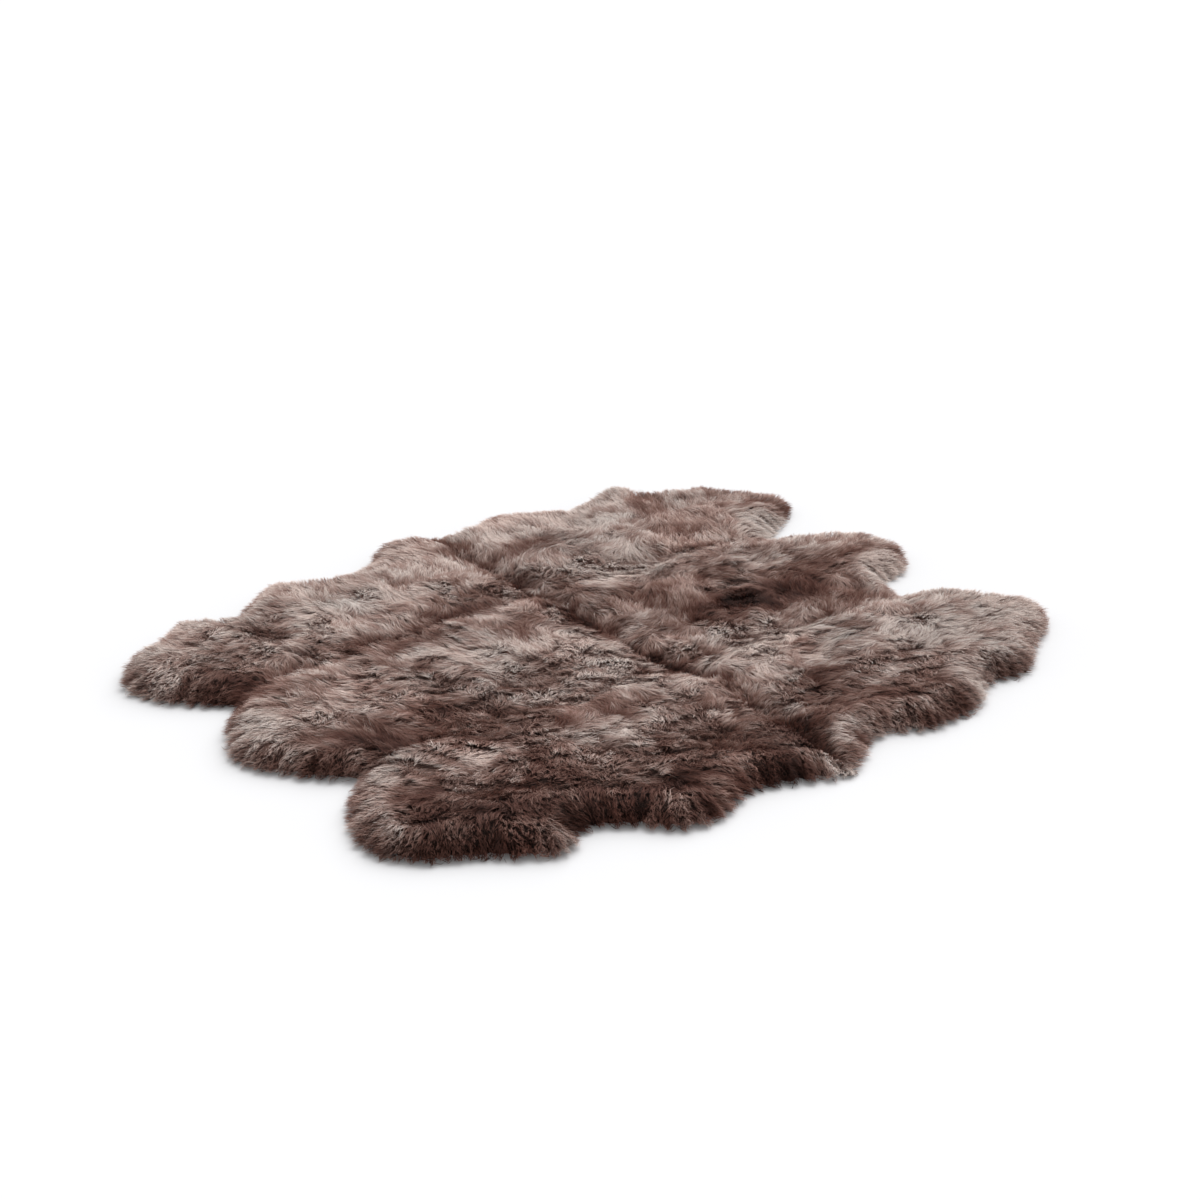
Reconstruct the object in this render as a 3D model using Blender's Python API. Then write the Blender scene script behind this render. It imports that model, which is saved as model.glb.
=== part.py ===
"""Long-wool sheepskin rug: six pelts sewn edge to edge, two long and three across, lying flat, wool up.

Each pelt is one closed solid that reaches as far as its wool does. It lies on a flat underside at z = 0,
it has the outline of the skin with its neck, flaps and waist, and its fleece sinks along the seams, rolls
down to the floor at the rim and ends there in pointed locks. X runs along the pelts, from the necks on the
left to the necks on the right, and Y across them, from the near side to the far side.
"""

import random
from collections import namedtuple

import bmesh
import bpy
import numpy as np
from mathutils import Vector, geometry, noise

MM = 0.001

# The fleece
LOFT = 55 * MM  # height of the wool in the middle of a pelt
SEAM_LOFT = 37 * MM  # height of the wool where two pelts are sewn together
SEAM_SINK = 42 * MM  # how far from a seam the fleece has risen most of the way
RIM_ROLL = 60 * MM  # how far in from the rim the fleece rolls down to the floor
BIG_LUMP = 135 * MM  # across
SMALL_LUMP = 64 * MM
BIG_LUMP_RISE = 10 * MM
SMALL_LUMP_RISE = 8 * MM
BIG_LAYER, SMALL_LAYER, COMB_LAYER = 0.5, 3.5, 7.5  # where in the noise each pattern is taken
LINE_STEP = 9 * MM  # how closely the smooth lines are drawn
FINE_STEPS = 40  # to a lock

# The locks at the rim, and how finely the fleece is drawn
LOCK_PITCH = 32 * MM
LOCK_WIDTHS = (0.6, 1.4)  # narrowest and widest lock, as shares of the pitch
LOCK_REACH = 18 * MM  # from the hollow between two locks to a lock's tip, half of it each side of the edge
LOCK_REACHES = (0.35, 0.65)  # the least and the most on one side, as shares of the reach
LOCK_SWEEP = 11 * MM  # how far sideways a tip is combed
MOST_SWEEP = 0.3  # of a lock's width
BELLY_ASIDE = 0.25  # of a lock's width: its full side, away from the way it is combed
BELLY_REACH = 0.5  # of the tip's reach
BELLY_SWEEP = 0.3  # of the tip's sweep
LOCK_FADE = 60 * MM  # towards a seam's end the locks get shorter over this length
TIP_HEIGHT = 5 * MM
HOLLOW_HEIGHT = 14 * MM
CREST_RISE = 3 * MM  # a lock's back stands this much above the hollows beside it
ROW_INSETS = (15 * MM, 37 * MM)  # rows of points behind the locks
COMBED = 240 * MM  # the size of the stretches that are combed one way
LUMP_GRID = 33 * MM
GRID_NUDGE = 5 * MM
CLEAR_OF_EDGE = 17 * MM  # the grid keeps this far from an edge
CLEAR_OF_ROWS = 20 * MM
SEAM_STEP = 31 * MM
SEAM_GAP = 0.3 * MM
SEED = 6

Mark = namedtuple("Mark", "place along across")
Parting = namedtuple("Parting", "place along across to_along to_across width depth")

# The cutter's drawing. Seams, in millimetres along and across the rug
SEAMS = {
    "cross": (
        Mark("far end", 66, 812),
        Mark("far pelts", 48, 560),
        Mark("far long seams", 42, 296),
        Mark("middle pelts", 34, 60),
        Mark("near long seams", 36, -204),
        Mark("near pelts", 52, -340),
        Mark("near pelts, low", 24, -580),
        Mark("near end", 10, -794),
    ),
    "far_left": (
        Mark("notch", -783, 232),
        Mark("neck", -640, 258),
        Mark("shoulder", -350, 292),
        Mark("flank", -120, 302),
        Mark("cross seam", 42, 296),
    ),
    "near_left": (
        Mark("notch", -765, -216),
        Mark("neck", -690, -200),
        Mark("shoulder", -500, -182),
        Mark("flank", -280, -216),
        Mark("cross seam", 36, -204),
    ),
    "far_right": (
        Mark("cross seam", 42, 296),
        Mark("flank", 240, 306),
        Mark("shoulder", 470, 300),
        Mark("notch", 712, 256),
    ),
    "near_right": (
        Mark("cross seam", 36, -204),
        Mark("flank", 290, -212),
        Mark("shoulder", 520, -206),
        Mark("notch", 716, -198),
    ),
}

# Free edges, counter-clockwise, from one seam's end to the next
FREE_EDGES = {
    "pelt_far_left": (
        Mark("tail", 66, 812),
        Mark("hind flap", -74, 780),
        Mark("hind flap side", -154, 712),
        Mark("waist", -270, 664),
        Mark("fore flap side", -340, 690),
        Mark("fore flap", -410, 734),
        Mark("shoulder", -503, 668),
        Mark("shoulder hollow", -612, 604),
        Mark("cheek", -682, 654),
        Mark("cheek hollow", -755, 616),
        Mark("neck corner", -862, 556),
        Mark("neck tip", -924, 432),
        Mark("neck side", -864, 314),
        Mark("notch", -783, 232),
    ),
    "pelt_mid_left": (
        Mark("notch", -783, 232),
        Mark("neck, far side", -868, 120),
        Mark("neck tip", -914, 0),
        Mark("neck, near side", -862, -112),
        Mark("notch", -765, -216),
    ),
    "pelt_near_left": (
        Mark("notch", -765, -216),
        Mark("neck side", -856, -322),
        Mark("neck tip", -912, -462),
        Mark("neck corner", -866, -560),
        Mark("cheek", -760, -622),
        Mark("shoulder", -638, -698),
        Mark("shoulder hollow", -546, -648),
        Mark("fore flap side", -470, -684),
        Mark("fore flap", -392, -760),
        Mark("fore flap end", -302, -766),
        Mark("waist", -198, -718),
        Mark("hind flap", -84, -748),
        Mark("tail", 10, -794),
    ),
    "pelt_near_right": (
        Mark("tail", 10, -794),
        Mark("hind flap", 92, -730),
        Mark("waist", 198, -682),
        Mark("fore flap side", 286, -726),
        Mark("fore flap", 392, -722),
        Mark("shoulder", 462, -698),
        Mark("shoulder hollow", 556, -638),
        Mark("cheek", 650, -648),
        Mark("neck side", 772, -560),
        Mark("neck, near corner", 866, -504),
        Mark("neck tip", 920, -432),
        Mark("neck corner", 862, -320),
        Mark("neck hollow", 798, -228),
        Mark("notch", 716, -198),
    ),
    "pelt_mid_right": (
        Mark("notch", 716, -198),
        Mark("neck, near side", 754, -94),
        Mark("neck corner", 862, -56),
        Mark("neck tip", 936, 54),
        Mark("neck, far side", 858, 166),
        Mark("notch", 712, 256),
    ),
    "pelt_far_right": (
        Mark("notch", 712, 256),
        Mark("neck hollow", 778, 318),
        Mark("neck side", 864, 372),
        Mark("neck tip", 930, 450),
        Mark("neck corner", 854, 572),
        Mark("cheek", 812, 652),
        Mark("cheek hollow", 746, 664),
        Mark("shoulder", 674, 716),
        Mark("fore flap", 606, 768),
        Mark("fore flap side", 498, 736),
        Mark("waist", 428, 732),
        Mark("hind flap", 332, 764),
        Mark("hind flap end", 220, 776),
        Mark("tail hollow", 132, 752),
        Mark("tail", 66, 812),
    ),
}

# Each pelt's boundary: its seams in order, each forward or backward, and then its free edge
SEWN_SIDES = {
    "pelt_far_left": (("far_left", 1), ("cross_far", -1)),
    "pelt_mid_left": (("near_left", 1), ("cross_middle", -1), ("far_left", -1)),
    "pelt_near_left": (("cross_near", -1), ("near_left", -1)),
    "pelt_near_right": (("near_right", -1), ("cross_near", 1)),
    "pelt_mid_right": (("far_right", -1), ("cross_middle", 1), ("near_right", 1)),
    "pelt_far_right": (("cross_far", 1), ("far_right", 1)),
}

# Where the fleece parts or is pressed down, in millimetres: from a place to a place, how wide and how deep
PARTINGS = (
    Parting("far left, shoulder", -575, 430, -565, 585, 46, 14),
    Parting("far left, neck", -800, 410, -700, 340, 40, 10),
    Parting("far left, flank", -240, 410, -120, 385, 60, 9),
    Parting("middle left, shoulder", -430, -120, -425, 200, 44, 12),
    Parting("middle left, flank", -300, -55, -120, -120, 48, 13),
    Parting("middle left, neck", -770, -50, -660, -110, 52, 12),
    Parting("near left, neck", -830, -390, -790, -480, 42, 13),
    Parting("near left, shoulder", -700, -390, -560, -480, 50, 11),
    Parting("near left, flank", -190, -470, -60, -590, 80, 11),
    Parting("far right, cheek", 625, 570, 645, 660, 40, 12),
    Parting("far right, neck tip", 835, 425, 885, 475, 30, 10),
    Parting("far right, waist", 300, 530, 420, 610, 60, 10),
    Parting("middle right, shoulder", 420, 60, 520, -90, 76, 13),
    Parting("middle right, flank", 180, 120, 300, 190, 48, 9),
    Parting("near right, shoulder", 470, -460, 560, -370, 54, 11),
    Parting("near right, flank", 180, -550, 330, -585, 60, 10),
)

WOOL_COLOUR = (0.174, 0.114, 0.097, 1.0)
WOOL_ROUGHNESS = 0.95


# Lines through the marks

def smooth_line(marks):
    """A smooth curve through the marks, as closely spaced points in metres."""
    knots = [Vector((mark.along, mark.across)) * MM for mark in marks]
    before = [2 * knots[0] - knots[1]] + knots[:-1]
    after = knots[1:] + [2 * knots[-1] - knots[-2]]
    ways = [(b - a).normalized() for a, b in zip(before, after)]
    line = [knots[0]]
    for knot, way, next_knot, next_way in zip(knots, ways, knots[1:], ways[1:]):
        chord = (next_knot - knot).length
        handle = knot + way * chord / 3
        next_handle = next_knot - next_way * chord / 3
        count = 2 + round(chord / LINE_STEP)
        line += geometry.interpolate_bezier(knot, handle, next_handle, next_knot, count)[1:]
    return np.array([point[:2] for point in line])


def at_steps(line, count):
    """The line redrawn with this many even steps."""
    runs = np.concatenate([[0], np.cumsum(np.linalg.norm(np.diff(line, axis=0), axis=1))])
    places = np.linspace(0, runs[-1], count + 1)
    return np.column_stack([np.interp(places, runs, line[:, 0]), np.interp(places, runs, line[:, 1])])


def length_of(line):
    return np.linalg.norm(np.diff(line, axis=0), axis=1).sum()


def distance_to(line, points):
    """How far each point lies from the line."""
    starts, sides = line[:-1], np.diff(line, axis=0)
    squares = np.maximum((sides ** 2).sum(axis=1), 1e-12)
    nearest = np.full(len(points), np.inf)
    for start, side, square in zip(starts, sides, squares):
        share = np.clip(((points - start) @ side) / square, 0, 1)
        away = np.linalg.norm(points - start - share[:, None] * side, axis=1)
        nearest = np.minimum(nearest, away)
    return nearest


def outward(line):
    """The unit direction out of the rug at each point of a free edge, which runs counter-clockwise."""
    along = np.gradient(line, axis=0)
    along /= np.linalg.norm(along, axis=1)[:, None]
    return np.column_stack([along[:, 1], -along[:, 0]])


# The fleece's height

def lump(x, y, size, layer):
    return noise.noise(Vector((x / size, y / size, layer)))


def fleece_height(points):
    """The wool's height at each point: full in a pelt, sunk at seams and partings, rolled at the rim."""
    height = np.full(len(points), LOFT)
    from_seam = np.min([distance_to(line, points) for line in seam_lines.values()], axis=0)
    height -= (LOFT - SEAM_LOFT) * np.exp(-((from_seam / SEAM_SINK) ** 2))
    for parting in PARTINGS:
        ends = np.array([[parting.along, parting.across], [parting.to_along, parting.to_across]]) * MM
        away = distance_to(at_steps(ends, 2), points)
        height -= parting.depth * MM * np.exp(-((away / (parting.width * MM)) ** 2))
    height += [BIG_LUMP_RISE * lump(x, y, BIG_LUMP, BIG_LAYER) for x, y in points]
    height += [SMALL_LUMP_RISE * lump(x, y, SMALL_LUMP, SMALL_LAYER) for x, y in points]
    from_rim = np.min([distance_to(line, points) for line in edge_lines.values()], axis=0)
    roll = np.clip(1 - from_rim / RIM_ROLL, 0, 1)
    return height * np.sqrt(1 - roll ** 2)


# The rim's locks

def rim_locks(edge, dice):
    """The outline with its locks, as (place, height) pairs, and the points behind it, as (place, rise)."""
    length = length_of(edge)
    count = round(length / LOCK_PITCH)
    fine = FINE_STEPS * count
    line = at_steps(edge, fine)
    outs = outward(line)

    def place_at(share, out, sideways=0):
        i = round(share * fine)
        way = np.array([-outs[i][1], outs[i][0]])
        return line[i] + outs[i] * out + way * sideways

    widths = np.array([dice.uniform(*LOCK_WIDTHS) for _ in range(count)])
    stops = np.concatenate([[0], np.cumsum(widths) / widths.sum()])
    outline, rows = [(line[0], HOLLOW_HEIGHT)], []
    for start, end, width in zip(stops, stops[1:], widths):
        middle = (start + end) / 2
        full = min(1, middle * length / LOCK_FADE, (1 - middle) * length / LOCK_FADE)
        combed = 2 * lump(*place_at(middle, 0), COMBED, COMB_LAYER) + dice.uniform(-0.5, 0.5)
        most = MOST_SWEEP * width * LOCK_PITCH * full
        sweep = min(max(LOCK_SWEEP * combed, -most), most)
        reach = full * LOCK_REACH * dice.uniform(*LOCK_REACHES) * (1 + width) / 2
        tip = (place_at(middle, reach, sweep), TIP_HEIGHT)
        side = middle - BELLY_ASIDE * (end - start) * np.sign(sweep)
        belly_place = place_at(side, BELLY_REACH * reach, BELLY_SWEEP * sweep)
        belly = (belly_place, (TIP_HEIGHT + HOLLOW_HEIGHT) / 2)
        outline += [belly, tip] if sweep > 0 else [tip, belly]
        rows += [(place_at(middle, -inset), CREST_RISE) for inset in ROW_INSETS]
        inner = full * LOCK_REACH * dice.uniform(*LOCK_REACHES)
        if end < stops[-1]:
            outline.append((place_at(end, -inner), HOLLOW_HEIGHT))
            rows.append((place_at(end, -ROW_INSETS[0]), -CREST_RISE))
    return outline + [(line[-1], HOLLOW_HEIGHT)], rows


# A pelt's outline

def cross_parts(line):
    """The cross seam in three, parted where the long seams meet it."""
    joints = [np.array([mark.along, mark.across]) * MM for mark in SEAMS["cross"] if "seams" in mark.place]
    first, second = (np.linalg.norm(line - joint, axis=1).argmin() for joint in joints)
    return {
        "cross_far": line[: first + 1],
        "cross_middle": line[first : second + 1],
        "cross_near": line[second:],
    }


def sewn_outline(name):
    """The points of a pelt's sewn sides, without the two ends, which are the ends of its free edge."""
    lines = [seam_points[seam][::way] for seam, way in SEWN_SIDES[name]]
    return np.vstack([line[:-1] for line in lines])[1:]


def drawn_in(outline, amount):
    """The closed outline, counter-clockwise, with each side moved in by the amount."""
    moved = []
    for before, here, after in zip(np.roll(outline, 1, axis=0), outline, np.roll(outline, -1, axis=0)):
        first = (here - before) / np.linalg.norm(here - before)
        second = (after - here) / np.linalg.norm(after - here)
        inward = np.array([-first[1] - second[1], first[0] + second[0]])
        moved.append(here + amount * inward * 2 / (inward @ inward))
    return np.array(moved)


def is_inside(points, outline):
    inside = np.zeros(len(points), bool)
    for (x1, y1), (x2, y2) in zip(outline, np.roll(outline, -1, axis=0)):
        if y1 == y2:
            continue
        crosses = (y1 > points[:, 1]) != (y2 > points[:, 1])
        inside ^= crosses & (points[:, 0] < (x2 - x1) * (points[:, 1] - y1) / (y2 - y1) + x1)
    return inside


def clear_of(outline, points, clearance):
    """Which of the points lie inside the closed outline by at least the clearance."""
    closed_line = np.vstack([outline, outline[:1]])
    return is_inside(points, outline) & (distance_to(closed_line, points) > clearance)


def lump_grid(outline, taken, dice):
    """Staggered rows of points over the pelt, nudged a little, clear of its edges and the taken points."""
    low, high = outline.min(axis=0), outline.max(axis=0)
    found = []
    for row, y in enumerate(np.arange(low[1], high[1], LUMP_GRID * np.sqrt(3) / 2)):
        for x in np.arange(low[0] + (row % 2) * LUMP_GRID / 2, high[0], LUMP_GRID):
            found.append([value + GRID_NUDGE * dice.uniform(-1, 1) for value in (x, y)])
    found = np.array(found)
    found = found[clear_of(outline, found, CLEAR_OF_EDGE)]
    to_taken = np.linalg.norm(found[:, None] - taken[None], axis=2).min(axis=1)
    return found[to_taken > CLEAR_OF_ROWS]


# A pelt's solid

def fleece_top(places, heights, ring):
    """The fleece's upper side: triangles between the places, inside the ring of outline points."""
    sides = list(zip(ring, ring[1:] + ring[:1]))
    flat = geometry.delaunay_2d_cdt([Vector(place) for place in places], sides, [ring], 1, 0.001 * MM)
    spots, faces, origins = flat[0], flat[2], flat[3]
    top = bmesh.new()
    corners = [top.verts.new((*spot, heights[origin[0]])) for spot, origin in zip(spots, origins)]
    for face in faces:
        top.faces.new([corners[i] for i in face])
    return top


def close_down_to_floor(top):
    """Walls from the open edge down to z = 0, and a flat underside."""
    rim = [edge for edge in top.edges if edge.is_boundary]
    walls = bmesh.ops.extrude_edge_only(top, edges=rim)["geom"]
    for item in walls:
        if isinstance(item, bmesh.types.BMVert):
            item.co.z = 0
    foot = [edge for edge in top.edges if edge.is_boundary]
    bmesh.ops.triangle_fill(top, use_beauty=True, use_dissolve=False, edges=foot)
    bmesh.ops.recalc_face_normals(top, faces=top.faces)


def make_pelt(name, seed):
    dice = random.Random(seed)
    rim, rows = rim_locks(edge_lines[name], dice)
    sewn = sewn_outline(name)
    outline = drawn_in(np.vstack([[place for place, _ in rim], sewn]), SEAM_GAP / 2)
    row_points = np.array([place for place, _ in rows])
    row_rises = np.array([rise for _, rise in rows])
    kept = clear_of(outline, row_points, ROW_INSETS[0] / 2)
    row_points, row_rises = row_points[kept], row_rises[kept]
    grid = lump_grid(outline, row_points, dice)
    heights = np.concatenate([
        [height for _, height in rim],
        np.maximum(fleece_height(sewn), HOLLOW_HEIGHT),
        fleece_height(row_points) + row_rises,
        fleece_height(grid),
    ])
    solid = fleece_top(np.vstack([outline, row_points, grid]), heights, list(range(len(outline))))
    close_down_to_floor(solid)
    mesh = bpy.data.meshes.new(name)
    solid.to_mesh(mesh)
    solid.free()
    mesh.shade_smooth()
    mesh.materials.append(wool)
    pelt = bpy.data.objects.new(name, mesh)
    rug.objects.link(pelt)
    return pelt


def centre(pelts):
    """Moves the pelts so that the middle of their common box is over the origin."""
    corners = np.array([vert.co[:2] for pelt in pelts for vert in pelt.data.vertices])
    middle = (corners.min(axis=0) + corners.max(axis=0)) / 2
    for pelt in pelts:
        pelt.location = (-middle[0], -middle[1], 0)


# The rug

for leftover in list(bpy.data.objects):
    bpy.data.objects.remove(leftover, do_unlink=True)

rug = bpy.data.collections.new("sheepskin_rug")
bpy.context.scene.collection.children.link(rug)

wool = bpy.data.materials.new("dyed_wool")
wool.use_nodes = True
finish = wool.node_tree.nodes["Principled BSDF"]
finish.inputs["Base Color"].default_value = WOOL_COLOUR
finish.inputs["Roughness"].default_value = WOOL_ROUGHNESS
finish.inputs["Metallic"].default_value = 0.0

seam_lines = {name: smooth_line(marks) for name, marks in SEAMS.items()}
edge_lines = {name: smooth_line(marks) for name, marks in FREE_EDGES.items()}
seam_points = {
    name: at_steps(line, round(length_of(line) / SEAM_STEP))
    for name, line in (seam_lines | cross_parts(seam_lines["cross"])).items()
}

centre([make_pelt(name, SEED + number) for number, name in enumerate(FREE_EDGES)])
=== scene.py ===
# %% [markdown]
# # A sheepskin rug made of six pelts
#
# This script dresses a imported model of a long-haired sheepskin rug. Its six lumpy solids, one for
# each pelt, say where the wool is and how high it stands. Wool itself can't be one surface: from a
# step away the eye sees thousands of fine, pale tips over darker roots, gathered in locks that lean
# this way and that. So the solids are used as a mould, and strands are grown whose tips end on it,
# give or take a few millimetres.

# %% Load the frame
import math
from collections import namedtuple

import bpy
import numpy as np
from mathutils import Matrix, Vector
from mathutils.bvhtree import BVHTree
from mathutils.geometry import delaunay_2d_cdt
from mathutils.kdtree import KDTree


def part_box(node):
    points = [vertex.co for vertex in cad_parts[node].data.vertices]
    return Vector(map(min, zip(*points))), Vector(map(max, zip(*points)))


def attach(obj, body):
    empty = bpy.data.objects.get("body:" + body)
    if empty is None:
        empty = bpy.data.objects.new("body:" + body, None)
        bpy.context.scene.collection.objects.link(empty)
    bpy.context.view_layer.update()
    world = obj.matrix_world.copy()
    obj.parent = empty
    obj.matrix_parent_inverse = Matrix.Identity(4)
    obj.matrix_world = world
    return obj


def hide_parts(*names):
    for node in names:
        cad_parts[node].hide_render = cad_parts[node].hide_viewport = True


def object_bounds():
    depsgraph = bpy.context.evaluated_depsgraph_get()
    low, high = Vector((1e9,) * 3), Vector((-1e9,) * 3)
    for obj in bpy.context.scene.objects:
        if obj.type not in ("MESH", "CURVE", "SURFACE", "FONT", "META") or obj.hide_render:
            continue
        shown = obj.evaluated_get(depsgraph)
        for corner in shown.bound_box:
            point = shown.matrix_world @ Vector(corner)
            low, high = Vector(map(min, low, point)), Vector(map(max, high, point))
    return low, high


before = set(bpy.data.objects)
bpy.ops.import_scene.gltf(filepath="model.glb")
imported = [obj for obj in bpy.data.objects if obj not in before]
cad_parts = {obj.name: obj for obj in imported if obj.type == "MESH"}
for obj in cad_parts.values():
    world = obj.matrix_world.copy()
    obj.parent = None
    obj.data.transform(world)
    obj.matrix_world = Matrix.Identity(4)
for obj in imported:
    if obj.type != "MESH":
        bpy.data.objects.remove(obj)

cad_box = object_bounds()
pelts = sorted(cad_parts)
print("pelts:", ", ".join(pelts))
print("solids reach from", [round(v, 3) for v in cad_box[0]], "to", [round(v, 3) for v in cad_box[1]])

# %% [markdown]
# ## Camera
#
# The rug lies flat, and the photographer stood a few steps away and looked down at a shallow
# angle with a fairly long lens. A camera could be aimed with a tracking constraint, but plain
# angles are easier to check against the picture, so it gets a place, a heading and a tilt.

# %% Camera
CAMERA_PLACE = (-3.0133, -3.8907, 2.1267)
HEADING = math.radians(-37.716)
LOOKS_DOWN = math.radians(22.152)
LENS = 72.8
SENSOR = 36

camera_data = bpy.data.cameras.new("camera")
camera_data.lens = LENS
camera_data.sensor_width = SENSOR
camera = bpy.data.objects.new("camera", camera_data)
camera.location = CAMERA_PLACE
camera.rotation_euler = (math.pi / 2 - LOOKS_DOWN, 0, HEADING)
bpy.context.scene.collection.objects.link(camera)
bpy.context.scene.camera = camera
print(f"camera to the middle of the rug: {camera.location.length:.2f} m")

# %% [markdown]
# ## Floor
#
# The photograph is a studio cut-out: a floor so pale that it runs into the background, with a faint
# cool shadow close to the wool. A curved backdrop could be modelled, but a wide plain floor gives
# the same. It is a middle grey with a trace of glow, as white would throw light up into the wool.

# %% Floor
FLOOR_SIZE = 60.0
FLOOR_COLOUR = (0.463, 0.463, 0.470, 1)
FLOOR_ROUGHNESS = 0.9
FLOOR_GLOW = 0.05
WHITE = (1, 1, 1, 1)


def plain_material(name, colour, roughness):
    """A Principled material with its constants on the shader's own sockets."""
    material = bpy.data.materials.new(name)
    material.use_nodes = True
    shader = material.node_tree.nodes["Principled BSDF"]
    shader.inputs["Base Color"].default_value = colour
    shader.inputs["Roughness"].default_value = roughness
    return material


def mesh_object(name, points, faces, material):
    """A linked object from points and faces."""
    mesh = bpy.data.meshes.new(name)
    mesh.from_pydata(points, [], faces)
    mesh.materials.append(material)
    made = bpy.data.objects.new(name, mesh)
    bpy.context.scene.collection.objects.link(made)
    return made


half = FLOOR_SIZE / 2
floor = mesh_object(
    "floor",
    [(-half, -half, 0), (half, -half, 0), (half, half, 0), (-half, half, 0)],
    [(0, 1, 2, 3)],
    plain_material("pale_floor", FLOOR_COLOUR, FLOOR_ROUGHNESS),
)
floor_shader = floor.data.materials[0].node_tree.nodes["Principled BSDF"]
floor_shader.inputs["Emission Color"].default_value = WHITE
floor_shader.inputs["Emission Strength"].default_value = FLOOR_GLOW
floor_shader.inputs["Specular IOR Level"].default_value = 0.0
print("floor laid,", FLOOR_SIZE, "m wide")

# %% [markdown]
# ## Light
#
# In the picture the far sides of the locks are bright, the sides that face the camera are darker,
# and no shadow has a hard edge. A lamp nearby would light a rug of this size unevenly, so a sun as
# broad as a studio's light box stands behind it on the right, and an even, bright world fills the
# shadows.

# %% Light
WORLD_LIGHT = 1.05
SUN_FROM = (0.71, 0.45, 0.88)
SUN_ENERGY = 4.45
SUN_BREADTH = math.radians(60)

world = bpy.data.worlds.new("studio")
world.use_nodes = True
world.node_tree.nodes["Background"].inputs["Color"].default_value = WHITE
world.node_tree.nodes["Background"].inputs["Strength"].default_value = WORLD_LIGHT
bpy.context.scene.world = world
bpy.context.scene.view_settings.view_transform = "Standard"

daylight = bpy.data.lights.new("daylight", "SUN")
daylight.energy = SUN_ENERGY
daylight.angle = SUN_BREADTH
sun = bpy.data.objects.new("daylight", daylight)
sun.rotation_euler = Vector(SUN_FROM).to_track_quat("Z", "Y").to_euler()
bpy.context.scene.collection.objects.link(sun)
print("world and sun are in place")

# %% [markdown]
# ## The mould: how high the wool stands
#
# Every strand has to end on the surface of its solid. Casting a ray for each would ask for the same
# height many times, so the solids are read once into a map: for each small square of floor, the
# height of the wool and the number of the pelt that is there.

# %% Read the solids into a height map
CELL = 0.004
MARGIN = 0.048
RAY_START = 1.0
DOWN = Vector((0, 0, -1))

corner = np.array([cad_box[0].x - MARGIN, cad_box[0].y - MARGIN])
far_corner = np.array([cad_box[1].x + MARGIN, cad_box[1].y + MARGIN])
cells = np.ceil((far_corner - corner) / CELL).astype(int) + 1
height = np.zeros(cells)
owner = np.full(cells, -1)
for number, name in enumerate(pelts):
    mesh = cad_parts[name].data
    tree = BVHTree.FromPolygons([v.co for v in mesh.vertices], [p.vertices for p in mesh.polygons])
    low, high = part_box(name)
    first = np.floor((np.array(low.xy) - corner) / CELL).astype(int)
    last = np.ceil((np.array(high.xy) - corner) / CELL).astype(int)
    for i in range(first[0], last[0] + 1):
        for j in range(first[1], last[1] + 1):
            above = Vector((corner[0] + i * CELL, corner[1] + j * CELL, RAY_START))
            hit = tree.ray_cast(above, DOWN)[0]
            if hit and hit.z > height[i, j]:
                height[i, j] = hit.z
                owner[i, j] = number
wool_here = (owner >= 0).astype(float)
print(f"height map of {cells.tolist()} cells; wool over {wool_here.sum() * CELL**2:.3f} m2")

# %% [markdown]
# ## Working with maps
#
# Nearly everything about this wool varies slowly over the rug, which a map of numbers holds well.
# Image editing could do it too, but NumPy keeps it in real sizes. A few helpers soften a map,
# average it over the wool alone, read it at any place and take its slope.

# %% Helpers that soften and read a map
BELL_REACH = 2.5
TINY = 1e-9


def softened(field, radius):
    """The map blurred with a bell curve of this radius."""
    reach = int(math.ceil(BELL_REACH * radius / CELL))
    weights = np.exp(-0.5 * (np.arange(-reach, reach + 1) * CELL / radius) ** 2)
    weights /= weights.sum()
    for axis in (0, 1):
        pad = [(0, 0), (0, 0)]
        pad[axis] = (reach, reach)
        wide = np.pad(field, pad, mode="edge")
        count = field.shape[axis]
        slices = [np.take(wide, range(k, k + count), axis) * w for k, w in enumerate(weights)]
        field = sum(slices)
    return field


def averaged(field, radius, least_share=0.1):
    """The map softened over the wool alone. Far from the wool it fades to 0."""
    return softened(field, radius) / np.maximum(softened(wool_here, radius), least_share)


def read(field, places):
    """The map's value at each (x, y), blended between its cells."""
    at = (places - corner) / CELL
    cell = np.clip(np.floor(at).astype(int), 0, np.array(field.shape[:2]) - 2)
    part = np.clip(at - cell, 0, 1)
    i, j = cell[..., 0], cell[..., 1]
    u, v = part[..., 0], part[..., 1]
    if field.ndim == 3:
        u, v = u[..., None], v[..., None]
    near = field[i, j] * (1 - u) + field[i + 1, j] * u
    far = field[i, j + 1] * (1 - u) + field[i + 1, j + 1] * u
    return near * (1 - v) + far * v


def slope(field):
    """The map's slope as a map of (x, y) arrows."""
    return np.stack(np.gradient(field, CELL), axis=-1)


def unit(arrows):
    """Arrows of length 1."""
    return arrows / np.maximum(np.linalg.norm(arrows, axis=-1, keepdims=True), TINY)


# %% [markdown]
# ## Chance
#
# Real wool is full of accident. One seeded generator gives it all, so the rug comes out the same
# each time, as long as the draws stay in this order. A drift is noise softened into hills of a
# chosen width.

# %% Soft random maps
SEED = 41

chance = np.random.default_rng(SEED)


def drift(radius):
    """A soft random map around 0 with hills about this wide."""
    field = softened(chance.normal(size=wool_here.shape), radius)
    return field / field.std()


def uneven(share, change, radius, least, most):
    """A soft random map around a share, kept between two limits."""
    return np.clip(share + change * drift(radius), least, most)


print("chance starts from", SEED)

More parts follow.
